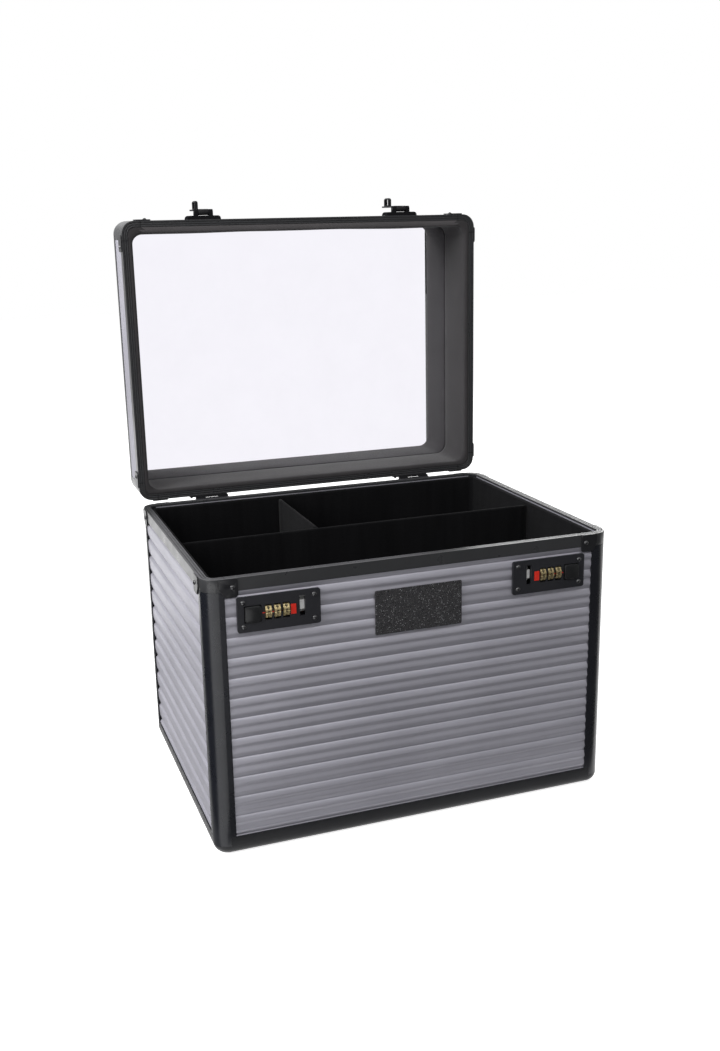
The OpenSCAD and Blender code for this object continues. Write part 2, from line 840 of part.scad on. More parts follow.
// Flap, turned up over the lid, with the staple that the lock catches
module hasp_flap(side) {
    color("#2e2f33") at_hasp(side) difference() {
        union() {
            pivot_rod(knuckle_r, flap_w);
            translate([-flap_w / 2, -knuckle_r, 0])
                cube([flap_w, flap_t, staple_reach + flap_tail - flap_w / 2]);
            translate([0, flap_t - knuckle_r, staple_reach + flap_tail - flap_w / 2]) rotate([90, 0, 0])
                cylinder(r = flap_w / 2, h = flap_t);
            translate([0, -knuckle_r, staple_reach]) staple();
        }
        pivot_rod(hasp_pin_r + run_fit, flap_w + overrun);
    }
}

// Round-topped loop on the flap's face at y = 0, standing towards -y in the plane of y and z
module staple() {
    eye_l = staple_l - 2 * staple_wall;
    intersection() {
        rotate([0, -90, 0]) linear_extrude(staple_t, center = true) difference() {
            rounded_rect(staple_l, 2 * staple_h, staple_r);
            translate([-staple_l, flap_t / 2]) square([2 * staple_l, staple_h]);
            translate([-eye_l / 2, staple_bar_t - staple_h])
                square([eye_l, staple_h - staple_bar_t - staple_wall / 2]);
        }
        linear_extrude(staple_l, center = true) {
            translate([0, staple_t / 2 - staple_h]) circle(r = staple_t / 2);
            translate([-staple_t / 2, staple_t / 2 - staple_h]) square([staple_t, staple_h]);
        }
    }
}

// Handle

// Puts a handle piece on the closed lid's top: origin at the middle of the pivot axis
module at_handle() {
    lid_pose() translate([0, -handle_back, handle_pivot_z]) children();
}

// Two seats with a pair of ears each
module handle_brackets() {
    ear_x = handle_eye_w / 2 + move_gap;
    seat = -handle_pivot_up;
    color("#232327") at_handle() for (end = [-1, 1]) translate([end * handle_span / 2, 0, 0]) difference() {
        union() {
            translate([-pin_l / 2, -handle_base_l / 2, seat]) cube([pin_l, handle_base_l, handle_base_t]);
            for (sx = [0, 1]) mirror([sx, 0, 0]) translate([ear_x, 0, 0]) {
                translate([handle_ear_w / 2, 0, 0]) pivot_rod(handle_eye_r, handle_ear_w);
                translate([0, -handle_eye_r, seat + handle_base_t / 2])
                    cube([handle_ear_w, 2 * handle_eye_r, handle_pivot_up - handle_base_t / 2]);
            }
        }
        pivot_rod(hasp_pin_r, pin_l + overrun);
    }
}

// Pins of the two hasps and of the handle's two legs, all alike
module lid_pins() {
    color("#8d8f94") {
        for (side = [left, right]) at_hasp(side) pivot_rod(hasp_pin_r, pin_l);
        for (end = [-1, 1]) at_handle() translate([end * handle_span / 2, 0, 0]) pivot_rod(hasp_pin_r, pin_l);
    }
}

// Carry handle lying back on the lid: two eyes, two legs, two bends and a thick grip
module handle_grip() {
    leg_l = handle_reach - handle_bend_r;
    bend_x = handle_span / 2 - handle_bend_r;
    color("#1c1c1f") at_handle() difference() {
        union() {
            for (sx = [0, 1]) mirror([sx, 0, 0]) translate([handle_span / 2, 0, 0]) {
                pivot_rod(handle_eye_r, handle_eye_w);
                rotate([-90, 0, 0]) cylinder(r = handle_wire_r, h = leg_l);
                translate([-handle_bend_r, leg_l, 0]) rotate_extrude(angle = 90)
                    translate([handle_bend_r, 0]) circle(r = handle_wire_r);
            }
            translate([0, handle_reach, 0]) pivot_rod(handle_wire_r, 2 * bend_x);
            translate([0, handle_reach, 0]) pivot_rod(grip_r, grip_l);
        }
        pivot_rod(hasp_pin_r + run_fit, handle_span + handle_eye_w + overrun);
    }
}

corner_posts();
bottom_rails();
bottom_corners();
body_rim();
front_panel();
plain_panel(1);  // right_panel
plain_panel(2);  // back_panel
plain_panel(3);  // left_panel
bottom_panel();
wall_liner();
floor_pad();
long_divider();
short_divider();
body_brackets();
body_rivets();
badge_plate();
hinge_body_leaves();
hinge_pins();
lock_plate(left);  // lock_plate_left
lock_plate(right);  // lock_plate_right
lock_case(left);  // lock_case_left
lock_case(right);  // lock_case_right
dial_axles();
lock_rivets();
lock_spring(left);  // lock_spring_left
lock_spring(right);  // lock_spring_right
dial(left, 1);  // dial_left_1
dial(left, 2);  // dial_left_2
dial(left, 3);  // dial_left_3
dial(right, 1);  // dial_right_1
dial(right, 2);  // dial_right_2
dial(right, 3);  // dial_right_3
release_button(left);  // release_button_left
release_button(right);  // release_button_right
lock_catch(left);  // lock_catch_left
lock_catch(right);  // lock_catch_right
reset_button(left);  // reset_button_left
reset_button(right);  // reset_button_right
lid_rim();
lid_posts();
lid_top_rails();
lid_top_corners();
lid_panel(0);  // lid_front_panel
lid_panel(1);  // lid_right_panel
lid_panel(2);  // lid_back_panel
lid_panel(3);  // lid_left_panel
lid_top_panel();
lid_liner();
mirror_sheet();  // mirror
lid_brackets();
lid_rivets();
hinge_lid_leaves();
hasp_base(left);  // hasp_base_left
hasp_base(right);  // hasp_base_right
hasp_flap(left);  // hasp_flap_left
hasp_flap(right);  // hasp_flap_right
handle_brackets();
lid_pins();
handle_grip();
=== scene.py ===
"""Looks of the grooming box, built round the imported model. Metres, +Z up, front towards -Y."""
import json
import math

import bmesh
import bpy
from mathutils import Matrix, Vector, noise


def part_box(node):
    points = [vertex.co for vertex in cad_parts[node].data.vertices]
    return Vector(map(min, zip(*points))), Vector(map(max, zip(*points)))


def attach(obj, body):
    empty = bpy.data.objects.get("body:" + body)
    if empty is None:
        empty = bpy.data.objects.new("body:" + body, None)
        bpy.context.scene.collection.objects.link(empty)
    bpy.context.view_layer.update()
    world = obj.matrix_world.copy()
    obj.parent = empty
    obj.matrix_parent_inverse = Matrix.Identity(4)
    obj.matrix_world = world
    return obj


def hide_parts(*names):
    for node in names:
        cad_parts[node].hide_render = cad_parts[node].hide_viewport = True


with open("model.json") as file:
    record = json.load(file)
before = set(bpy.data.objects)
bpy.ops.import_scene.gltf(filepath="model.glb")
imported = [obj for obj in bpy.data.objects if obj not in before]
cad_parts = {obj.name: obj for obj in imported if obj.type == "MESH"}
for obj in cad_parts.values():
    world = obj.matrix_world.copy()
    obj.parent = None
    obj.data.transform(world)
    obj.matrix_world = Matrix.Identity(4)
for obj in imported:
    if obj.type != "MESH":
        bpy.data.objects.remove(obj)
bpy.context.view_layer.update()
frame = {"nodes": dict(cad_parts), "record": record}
nodes = frame["nodes"]
scene = bpy.context.scene
scene.view_settings.view_transform = "Standard"

# Sizes repeated from the part
CASE_W, CASE_D, CASE_H = 0.400, 0.296, 0.265
LID_GAP = 0.0005
LID_OPEN = math.radians(90.5)
HINGE_Y, HINGE_Z = 0.1533, 0.2612
LOCK_X, LOCK_Z, LOCK_FACE = 0.1332, 0.231, -0.1506
DIAL_X = (-0.0100, -0.00185, 0.0063)
DIAL_Y, DIAL_R = -0.1456, 0.0070
LIP, POST_W, RAIL_H, RIM_H = 0.0016, 0.019, 0.018, 0.012
RIM_CORNER = 0.020
RIB_CLEAR, RIB_PITCH = 0.0002, 0.0191

LID_POSE = (Matrix.Translation((0, HINGE_Y, HINGE_Z)) @ Matrix.Rotation(-LID_OPEN, 4, "X")
            @ Matrix.Translation((0, -HINGE_Y, -HINGE_Z)))

# The camera of the photograph, solved from the straight edges of the case and the lid
CAMERA_PLACE = (-0.3920385, -1.0819963, 0.5666165)
YAW, PITCH, ROLL = -0.3454984, 0.2632253, -0.0185632
FOCAL_PIXELS, LONG_SIDE_PIXELS, SENSOR_MM = 1162.0193, 1051, 36


def make_camera():
    level = Vector((math.cos(YAW), math.sin(YAW), 0))
    ahead = Vector((-math.sin(YAW) * math.cos(PITCH), math.cos(YAW) * math.cos(PITCH), -math.sin(PITCH)))
    plumb = level.cross(ahead)
    right = math.cos(ROLL) * level + math.sin(ROLL) * plumb
    up = -math.sin(ROLL) * level + math.cos(ROLL) * plumb
    data = bpy.data.cameras.new("photo_camera")
    data.sensor_width = SENSOR_MM
    data.lens = FOCAL_PIXELS * SENSOR_MM / LONG_SIDE_PIXELS
    data.clip_start, data.clip_end = 0.01, 50
    camera = bpy.data.objects.new("photo_camera", data)
    pose = Matrix((right, up, -ahead)).transposed().to_4x4()
    pose.translation = CAMERA_PLACE
    camera.matrix_world = pose
    scene.collection.objects.link(camera)
    scene.camera = camera


make_camera()


def feed(tree, value, socket):
    """Links an output to a socket, or sets a constant on it. A colour comes without its alpha."""
    if hasattr(value, "is_output"):
        tree.links.new(value, socket)
    elif isinstance(value, tuple) and socket.type == "RGBA":
        socket.default_value = (*value, 1)
    else:
        socket.default_value = value


def add_node(tree, kind, inputs=None, **settings):
    """Adds a node with these settings, and feeds its inputs, given by name or number."""
    node = tree.nodes.new(kind)
    for key, value in settings.items():
        setattr(node, key, value)
    for key, value in (inputs or {}).items():
        feed(tree, value, node.inputs[key])
    return node


class Nodes:
    """A new material and short names for the node calls that it needs."""

    def __init__(self, name):
        self.mat = bpy.data.materials.new(name)
        self.mat.use_nodes = True
        self.tree = self.mat.node_tree
        self.bsdf = self.tree.nodes["Principled BSDF"]
        self.place = self.new("ShaderNodeTexCoord").outputs["Object"]

    def new(self, kind, inputs=None, **settings):
        return add_node(self.tree, kind, inputs, **settings)

    def noise(self, scale, detail=4, rough=0.55, stretch=(1, 1, 1), warp=0.0):
        place = self.new("ShaderNodeMapping", {"Vector": self.place, "Scale": stretch}).outputs["Vector"]
        return self.new("ShaderNodeTexNoise", {
            "Vector": place, "Scale": scale, "Detail": detail, "Roughness": rough, "Distortion": warp,
        }).outputs["Fac"]

    def ramp(self, fac, *stops):
        node = self.new("ShaderNodeValToRGB", {"Fac": fac})
        while len(node.color_ramp.elements) < len(stops):
            node.color_ramp.elements.new(0.5)
        for element, (position, colour) in zip(node.color_ramp.elements, stops):
            element.position = position
            element.color = (*colour, 1)
        return node.outputs["Color"]

    def span(self, fac, low, high, start=0.3, end=0.7):
        return self.new("ShaderNodeMapRange", {
            "Value": fac, "From Min": start, "From Max": end, "To Min": low, "To Max": high,
        }).outputs["Result"]

    def mix(self, fac, a, b, mode="MIX"):
        """Mix of two colours. Its colour sockets share their names with others, so they go by number."""
        return self.new("ShaderNodeMix", {0: fac, 6: a, 7: b}, data_type="RGBA", blend_type=mode).outputs[2]

    def calc(self, kind, a, b=0.0):
        return self.new("ShaderNodeMath", {0: a, 1: b}, operation=kind).outputs[0]

    def axis(self, key):
        return self.new("ShaderNodeSeparateXYZ", {0: self.place}).outputs[key]

    def bump(self, height, strength, distance, below=None):
        inputs = {"Strength": strength, "Distance": distance, "Height": height}
        if below is not None:
            inputs["Normal"] = below
        return self.new("ShaderNodeBump", inputs).outputs["Normal"]

    def set(self, **values):
        for key, value in values.items():
            feed(self.tree, value, self.bsdf.inputs[key.replace("_", " ")])
        return self.mat

    def surface(self, shader):
        """Puts another shader in the place of the Principled BSDF."""
        self.tree.nodes.remove(self.bsdf)
        feed(self.tree, shader.outputs[0], self.tree.nodes["Material Output"].inputs["Surface"])
        return self.mat


FINE_BUMP = 0.0001
JOINT_HALF, JOINT_DARK = 0.0004, (0.002, 0.002, 0.002)
BARE_FROM = 0.0175  # from a lock's middle towards the middle of the box


def metal_paint(name, low, high, rough, grain, bump, spec=0.25, joints=None):
    """Paint or anodising on metal: cloudy colour, fine grain, uneven gloss.

    joints is the axis and the middle of the runs from front to back, where dark lines show at the corners.
    """
    n = Nodes(name)
    colour = n.ramp(n.noise(scale=18, detail=5), (0.3, low), (0.7, high))
    if joints:
        line = 0.0
        for key, middle, length in (("X", 0.0, CASE_W), (*joints, CASE_D)):
            off = n.calc("ABSOLUTE", n.calc("SUBTRACT", n.axis(key), middle))
            near = n.calc("ABSOLUTE", n.calc("SUBTRACT", off, length / 2 - RIM_CORNER))
            line = n.calc("MAXIMUM", n.calc("LESS_THAN", near, JOINT_HALF), line)
        colour = n.mix(line, colour, JOINT_DARK)
    gloss = n.span(n.noise(scale=60), rough - 0.035, rough + 0.045)
    normal = n.bump(n.noise(scale=grain, detail=3), bump, FINE_BUMP)
    return n.set(Base_Color=colour, Roughness=gloss, Normal=normal, Specular_IOR_Level=spec)


def ribbed_sheet(name, stretch, painted_sheen_stretch):
    """Silver grey laminate with fine brushing, longer streaks along the ribs and a cloudy tone, and a painted
    sheen: soft lighter and darker streaks of colour along the ribs in place of reflected light.
    """
    n = Nodes(name)
    streak = n.noise(scale=1, detail=3, rough=0.6, stretch=stretch)
    # Painted sheen: the colour is lightened and darkened in soft streaks along the ribs, standing in for
    # reflections
    sheen = n.ramp(n.noise(scale=1, rough=0.6, stretch=painted_sheen_stretch, warp=0.3),
                   (0.32, (0.80, 0.80, 0.80)), (0.68, (1.0, 1.0, 1.0)))
    colour = n.ramp(n.noise(scale=9, rough=0.5, warp=0.4),
                    (0.3, (0.330, 0.325, 0.367)), (0.7, (0.380, 0.374, 0.421)))
    brushed = n.ramp(streak, (0.3, (0.82, 0.82, 0.83)), (0.7, (1.0, 1.0, 1.0)))
    colour = n.mix(0.35, colour, brushed, "MULTIPLY")
    colour = n.mix(0.6, colour, sheen, "MULTIPLY")
    normal = n.bump(n.noise(scale=1500, detail=2), 0.06, FINE_BUMP, n.bump(streak, 0.12, 0.0002))
    return n.set(Base_Color=colour, Roughness=n.span(streak, 0.40, 0.50), Normal=normal, Metallic=0.4,
                 Specular_IOR_Level=0.3)


def felt(name, low, high, sheen, streak=(1, 1, 1)):
    """Short felt: matted fibres, cloudy nap and a soft sheen."""
    n = Nodes(name)
    fibre = n.noise(scale=1400, detail=5, rough=0.7, warp=1.2)
    nap = n.noise(scale=26, rough=0.6, stretch=streak, warp=0.6)
    colour = n.mix(0.45, n.ramp(fibre, (0.3, low), (0.72, high)), n.ramp(nap, (0.3, low), (0.7, high)))
    normal = n.bump(fibre, 0.5, 0.0004, n.bump(nap, 0.25, 0.0008))
    return n.set(Base_Color=colour, Roughness=n.span(fibre, 0.9, 1.0), Normal=normal, Sheen_Weight=sheen,
                 Sheen_Roughness=0.5, Specular_IOR_Level=0.06)


def glitter(name):
    """Black sheet full of fine flakes that each face another way."""
    n = Nodes(name)
    cells = n.new("ShaderNodeTexVoronoi", {"Vector": n.place, "Scale": 1800})
    flake = n.new("ShaderNodeSeparateColor", {"Color": cells.outputs["Color"]}).outputs
    colour = n.ramp(flake["Red"], (0.0, (0.017, 0.017, 0.018)), (0.86, (0.036, 0.035, 0.038)),
                    (0.965, (0.085, 0.085, 0.09)), (0.995, (0.34, 0.34, 0.35)))
    return n.set(Base_Color=colour, Roughness=n.span(flake["Blue"], 0.22, 0.6, start=0, end=1),
                 Normal=n.bump(flake["Green"], 0.6, 0.0004), Metallic=0.2, Specular_IOR_Level=0.35)


def bright_metal(name, low, high, rough, stretch, metallic=1.0):
    """Drawn or plated metal with brushing."""
    n = Nodes(name)
    brush = n.noise(scale=1, detail=3, rough=0.6, stretch=stretch)
    colour = n.ramp(n.noise(scale=140, detail=3), (0.3, low), (0.7, high))
    return n.set(Base_Color=colour, Metallic=metallic, Roughness=n.span(brush, rough - 0.06, rough + 0.09),
                 Normal=n.bump(brush, 0.1, FINE_BUMP))


def lock_case_metal(name):
    """Pressing, bare zinc behind the slot and dark everywhere else; the dark is painted shade, for the deep gaps
    round the dials and the button.
    """
    n = Nodes(name)
    spangle = n.noise(scale=160)
    bare = n.calc("LESS_THAN", n.calc("ABSOLUTE", n.axis("X")), LOCK_X - BARE_FROM)
    # Painted shade: dark where the case shows through the gaps round the dials and the button
    dark = n.ramp(spangle, (0.3, (0.012, 0.012, 0.013)), (0.7, (0.02, 0.02, 0.022)))
    zinc = n.ramp(spangle, (0.3, (0.55, 0.55, 0.54)), (0.7, (0.68, 0.68, 0.66)))
    return n.set(Base_Color=n.mix(bare, dark, zinc), Roughness=n.span(spangle, 0.38, 0.55),
                 Normal=n.bump(n.noise(scale=1300, detail=3), 0.1, FINE_BUMP))


def plastic(name, low, high, rough, grain, bump, spec=0.5):
    """Moulded plastic: fine spark grain and slight flow marks."""
    n = Nodes(name)
    colour = n.ramp(n.noise(scale=40), (0.3, low), (0.7, high))
    gloss = n.span(n.noise(scale=200, detail=3), rough - 0.05, rough + 0.06)
    normal = n.bump(n.noise(scale=grain, detail=3), bump, FINE_BUMP)
    return n.set(Base_Color=colour, Roughness=gloss, Normal=normal, Specular_IOR_Level=spec)


def silvering(name):
    """Mirror sheet with a trace of haze."""
    n = Nodes(name)
    haze = n.noise(scale=30, detail=5)
    colour = n.ramp(haze, (0.3, (0.95, 0.945, 0.965)), (0.7, (0.97, 0.965, 0.985)))
    return n.set(Base_Color=colour, Metallic=1.0, Roughness=n.span(haze, 0.012, 0.03))


FRAME_BLACK = metal_paint("frame_black", (0.0105, 0.0108, 0.0125), (0.0140, 0.0144, 0.0162),
                          rough=0.36, grain=2200, bump=0.05, spec=0.2)
POST_BLACK = metal_paint("post_black", (0.0062, 0.0069, 0.0098), (0.0085, 0.0093, 0.0128),
                         rough=0.28, grain=2200, bump=0.03, spec=0.4)
RIM_FINISH = dict(low=(0.0288, 0.0293, 0.0312), high=(0.0314, 0.0319, 0.0340),
                  rough=0.30, grain=2200, bump=0.04, spec=0.35)
RIM_BLACK = metal_paint("rim_black", **RIM_FINISH, joints=("Y", 0.0))
LID_RIM_BLACK = metal_paint("lid_rim_black", **RIM_FINISH, joints=("Z", HINGE_Z + HINGE_Y))
PRESSED_TONES = dict(low=(0.0085, 0.0085, 0.0095), high=(0.0120, 0.0120, 0.0135))
HARDWARE = metal_paint("hardware_black", **PRESSED_TONES, rough=0.52, grain=1600, bump=0.08, spec=0.12)
HASP_BLACK = metal_paint("hasp_black", **PRESSED_TONES, rough=0.55, grain=1600, bump=0.08, spec=0.0)
BRACKET = metal_paint("bracket_black", (0.0105, 0.0107, 0.0122), (0.0145, 0.0147, 0.0165),
                      rough=0.32, grain=1800, bump=0.06)
RIVET = metal_paint("rivet_black", (0.007, 0.007, 0.009), (0.010, 0.010, 0.012),
                    rough=0.27, grain=900, bump=0.004, spec=0.7)
LOCK_BLACK = metal_paint("lock_black", (0.0140, 0.0142, 0.0172), (0.0180, 0.0183, 0.0215),
                         rough=0.42, grain=1300, bump=0.12)
LOCK_CASE = lock_case_metal("lock_case_zinc")
SHEET_FLAT = ribbed_sheet("panel_silver", stretch=(30, 30, 1500), painted_sheen_stretch=(5, 5, 190))
SHEET_LID_WALL = ribbed_sheet("panel_silver_lid_wall", stretch=(30, 1500, 30), painted_sheen_stretch=(5, 190, 5))
UNDERSIDE = plastic("underside_black", (0.012, 0.012, 0.013), (0.02, 0.02, 0.021),
                    rough=0.6, grain=700, bump=0.3)
FELT_BLACK = felt("felt_black", (0.0010, 0.0010, 0.0013), (0.0060, 0.0060, 0.0067),
                  sheen=0.03, streak=(3, 3, 0.25))
# A lighter copy of the black felt: painted light, so that the floor pad down in the box does not render pure
# black from above
FELT_FLOOR_PAINTED_LIGHT = felt("felt_floor_painted_light", (0.014, 0.014, 0.0153), (0.038, 0.038, 0.0405), sheen=0.06)
FELT_GREY = felt("felt_grey", (0.027, 0.0255, 0.0268), (0.044, 0.0415, 0.0435), sheen=0.15)
# A lighter copy of the grey felt: painted highlight for the lid lining's front lip, where its rolled edge catches
# light
FELT_PAINTED_LIT_LIP = felt("felt_grey_painted_lit_lip", (0.058, 0.0545, 0.0565), (0.088, 0.083, 0.0860), sheen=0.15)
MIRROR = silvering("mirror_silver")
GLITTER = glitter("badge_glitter")
STEEL = bright_metal("steel", (0.5, 0.5, 0.52), (0.6, 0.6, 0.62), rough=0.28, stretch=(1500, 60, 1500))
PIN_BLACK = bright_metal("pin_blackened", (0.020, 0.020, 0.022), (0.035, 0.035, 0.038),
                         rough=0.34, stretch=(1500, 60, 1500))
CATCH = bright_metal("catch_plating", (0.72, 0.72, 0.72), (0.80, 0.80, 0.79),
                     rough=0.30, stretch=(90, 90, 2200), metallic=0.35)
BRASS = bright_metal("dial_brass", (0.46, 0.37, 0.19), (0.60, 0.50, 0.28), rough=0.38, stretch=(2600, 60, 60))
BUTTON = plastic("button_black", (0.0085, 0.0088, 0.0096), (0.0120, 0.0124, 0.0134),
                 rough=0.38, grain=1500, bump=0.05, spec=0.32)
RED = plastic("red", (0.50, 0.020, 0.011), (0.60, 0.028, 0.016), rough=0.35, grain=900, bump=0.04, spec=0.25)
INK = plastic("digit_ink", (0.006, 0.005, 0.004), (0.012, 0.010, 0.008),
              rough=0.5, grain=2000, bump=0.1, spec=0.2)
GRIP = plastic("grip_black", (0.009, 0.009, 0.010), (0.014, 0.014, 0.015), rough=0.5, grain=1100, bump=0.3)

BY_SLOT = {
    "frame": FRAME_BLACK, "rim": RIM_BLACK, "panel": SHEET_FLAT, "underside": UNDERSIDE, "lining": FELT_BLACK,
    "lid_lining": FELT_GREY, "mirror": MIRROR, "hardware": HARDWARE, "rivet": RIVET, "badge": GLITTER,
    "pin": STEEL, "spring": STEEL, "lock": LOCK_BLACK, "lock_case": LOCK_CASE, "dial": BRASS, "button": BUTTON,
    "catch": CATCH, "reset": RED, "handle": GRIP,
}
BY_NODE = {
    "lid_front_panel": SHEET_LID_WALL, "lid_back_panel": SHEET_LID_WALL, "lid_left_panel": SHEET_LID_WALL,
    "lid_right_panel": SHEET_LID_WALL, "body_brackets": BRACKET, "lid_brackets": BRACKET,
    "corner_posts": POST_BLACK, "lid_posts": POST_BLACK, "lid_pins": PIN_BLACK, "hinge_pins": PIN_BLACK,
    "lid_rim": LID_RIM_BLACK, "hasp_base_left": HASP_BLACK, "hasp_base_right": HASP_BLACK,
}
for part in frame["record"]["subparts"]:
    materials = nodes[part["node"]].data.materials
    materials.clear()
    materials.append(BY_NODE.get(part["node"], BY_SLOT[part["material_slot"]]))

# A fine round on the sharp edges of the pressed and machined pieces, by its width
EDGE_ROUNDS = {
    0.0002: ("lock_catch_left", "lock_catch_right"),
    0.0003: ("badge_plate", "body_rim", "lid_rim", "reset_button_left", "reset_button_right", "hasp_flap_left",
             "hasp_flap_right", "hinge_body_leaves", "hinge_lid_leaves"),
    0.00035: ("body_brackets", "lid_brackets"),
    0.0004: ("hasp_base_left", "hasp_base_right"),
    0.0005: ("lock_plate_left", "lock_plate_right", "handle_brackets"),
    0.0008: ("handle_grip",),
    0.0009: ("release_button_left", "release_button_right"),
}


def round_edges(obj, width):
    weld = obj.modifiers.new("weld", "WELD")
    weld.merge_threshold = 1e-6
    flat = obj.modifiers.new("one_face_per_plane", "DECIMATE")
    flat.decimate_type = "DISSOLVE"
    flat.angle_limit = math.radians(0.6)
    bevel = obj.modifiers.new("edge_round", "BEVEL")
    bevel.width = width
    bevel.segments = 2
    bevel.limit_method = "ANGLE"
    bevel.angle_limit = math.radians(35)
    bevel.use_clamp_overlap = True
    bevel.harden_normals = True


for width, names in EDGE_ROUNDS.items():
    for name in names:
        round_edges(nodes[name], width)


def mesh_object(name, bm, material, body, smooth=True):
    """Makes an object from bm, rides it on a body and gives it a finish."""
    data = bpy.data.meshes.new(name)
    bmesh.ops.recalc_face_normals(bm, faces=bm.faces)
    bm.to_mesh(data)
    bm.free()
    for p in data.polygons:
        p.use_smooth = smooth
    obj = bpy.data.objects.new(name, data)
    scene.collection.objects.link(obj)
    obj.data.materials.append(material)
    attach(obj, body)
    return obj


def bridge(bm, rings, closed=False):
    """Faces between neighbouring rings. The last ring joins the first, or else both ends are capped."""
    count = len(rings[0])
    for a, b in zip(rings, rings[1:] + (rings[:1] if closed else [])):
        for j in range(count):
            k = (j + 1) % count
            bm.faces.new((a[j], a[k], b[k], b[j]))
    if not closed:
        bm.faces.new(rings[0])
        bm.faces.new(rings[-1])


def crease(bm, degrees):
    """Keeps an edge sharp where its faces turn by this much or more."""
    bmesh.ops.recalc_face_normals(bm, faces=bm.faces)
    for e in bm.edges:
        e.smooth = len(e.link_faces) == 2 and e.calc_face_angle(0) < math.radians(degrees)


# Ribbed walls. In the photograph the ribs of the side walls are single and bold, and those of the front
# alternate between bold and soft, so these three sheets take the place of the part's even ribs.
RIB_LOW, RIB_HIGH = RAIL_H + RIB_CLEAR, CASE_H - RIM_H - RIB_CLEAR
RIB_COLUMNS = 6
SIDE_RIB_TOP = 0.2509
SIDE_RISE, SIDE_CREST, SIDE_SWING = 0.0034, 0.0005, 0.0024
SIDE_SHARES = (0.0, 0.02, 0.04, 0.065, 0.09, 0.12, 0.15, 0.178, 0.24, 0.32, 0.41, 0.5, 0.59, 0.68, 0.76, 0.84,
               0.91, 0.96)
FRONT_RIB_TOP = 0.2479
FRONT_CURVE = (  # depth below a rib's top, and how far the sheet stands out there
    (0.0, 0.0), (0.0010, 0.0007), (0.0025, 0.00145), (0.0040, 0.0020), (0.0054, 0.00225), (0.0066, 0.00194),
    (0.0078, 0.00131), (0.0090, 0.00103), (0.0102, 0.00125), (0.0118, 0.00172), (0.0134, 0.0020),
    (0.0146, 0.00185), (0.0160, 0.00131), (0.0176, 0.00062), (0.0191, 0.0))
FRONT_STEPS = 36
FRONT_CREST_IN, HOLE_CLEAR = 0.0001, 0.0004
SIDE_CREASE, FRONT_CREASE = 30, 22  # degrees
MERGE, TOUCH = 1e-6, 1e-5


def rib_heights(top, shares):
    """Heights within the ribbed field at these shares of each pitch, counted down from top."""
    pitches = math.ceil(CASE_H / RIB_PITCH)
    heights = [top - (k + share) * RIB_PITCH for k in range(-1, pitches) for share in shares]
    return [z for z in heights if RIB_LOW < z < RIB_HIGH]


def side_profile(drop):
    """How far a side wall's sheet stands out at a depth below the first rib's top: quick rise, slow fall."""
    s = drop % RIB_PITCH
    if s < SIDE_RISE:
        return SIDE_CREST - SIDE_SWING * (1 - s / SIDE_RISE) ** 2
    return SIDE_CREST - SIDE_SWING * ((s - SIDE_RISE) / (RIB_PITCH - SIDE_RISE)) ** 4


def side_wall(name, node, sign):
    """Ribbed sheet of a side wall: flat edges behind the frame, ribs in the opening between the posts."""
    lo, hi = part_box(node)
    base, inner = CASE_W / 2 - LIP, min(abs(lo.x), abs(hi.x))
    flat = base + SIDE_CREST - SIDE_SWING
    drops = {round(RIB_HIGH - z, 7) for z in rib_heights(SIDE_RIB_TOP, SIDE_SHARES)}
    zs = [RIB_HIGH - d for d in sorted(drops | {0.0, RIB_HIGH - RIB_LOW})]
    bm = bmesh.new()

    def ring(y, ribbed):
        field = [(base + side_profile(SIDE_RIB_TOP - z) if ribbed else flat, z) for z in zs]
        section = [(flat, hi.z), (flat, RIB_HIGH), *field, (flat, RIB_LOW), (flat, lo.z), (inner, lo.z),
                   (inner, hi.z)]
        return [bm.verts.new((sign * x, y, z)) for x, z in section]

    end = CASE_D / 2 - POST_W - RIB_CLEAR
    rib_end = end - RIB_CLEAR
    rings = [ring(lo.y, False), ring(-end, False)]
    rings += [ring(-rib_end + 2 * rib_end * j / RIB_COLUMNS, True) for j in range(RIB_COLUMNS + 1)]
    rings += [ring(end, False), ring(hi.y, False)]
    bridge(bm, rings)
    bmesh.ops.remove_doubles(bm, verts=bm.verts, dist=MERGE)
    crease(bm, SIDE_CREASE)
    obj = mesh_object(name, bm, SHEET_FLAT, "case")
    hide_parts(node)


def front_profile(drop):
    """How far the front wall's sheet stands out at a depth below a rib's top: a smooth line through the curve."""
    s = drop % RIB_PITCH
    last = len(FRONT_CURVE) - 1
    k = max(i for i in range(last) if FRONT_CURVE[i][0] <= s)
    (s0, h0), (s1, h1) = FRONT_CURVE[k], FRONT_CURVE[k + 1]

    def slope(i):
        a, b = FRONT_CURVE[max(i - 1, 0)], FRONT_CURVE[min(i + 1, last)]
        return (b[1] - a[1]) / (b[0] - a[0])

    w = s1 - s0
    t = (s - s0) / w
    return (h0 * (1 + 2 * t) * (1 - t) ** 2 + h1 * t * t * (3 - 2 * t)
            + w * slope(k) * t * (1 - t) ** 2 - w * slope(k + 1) * t * t * (1 - t))


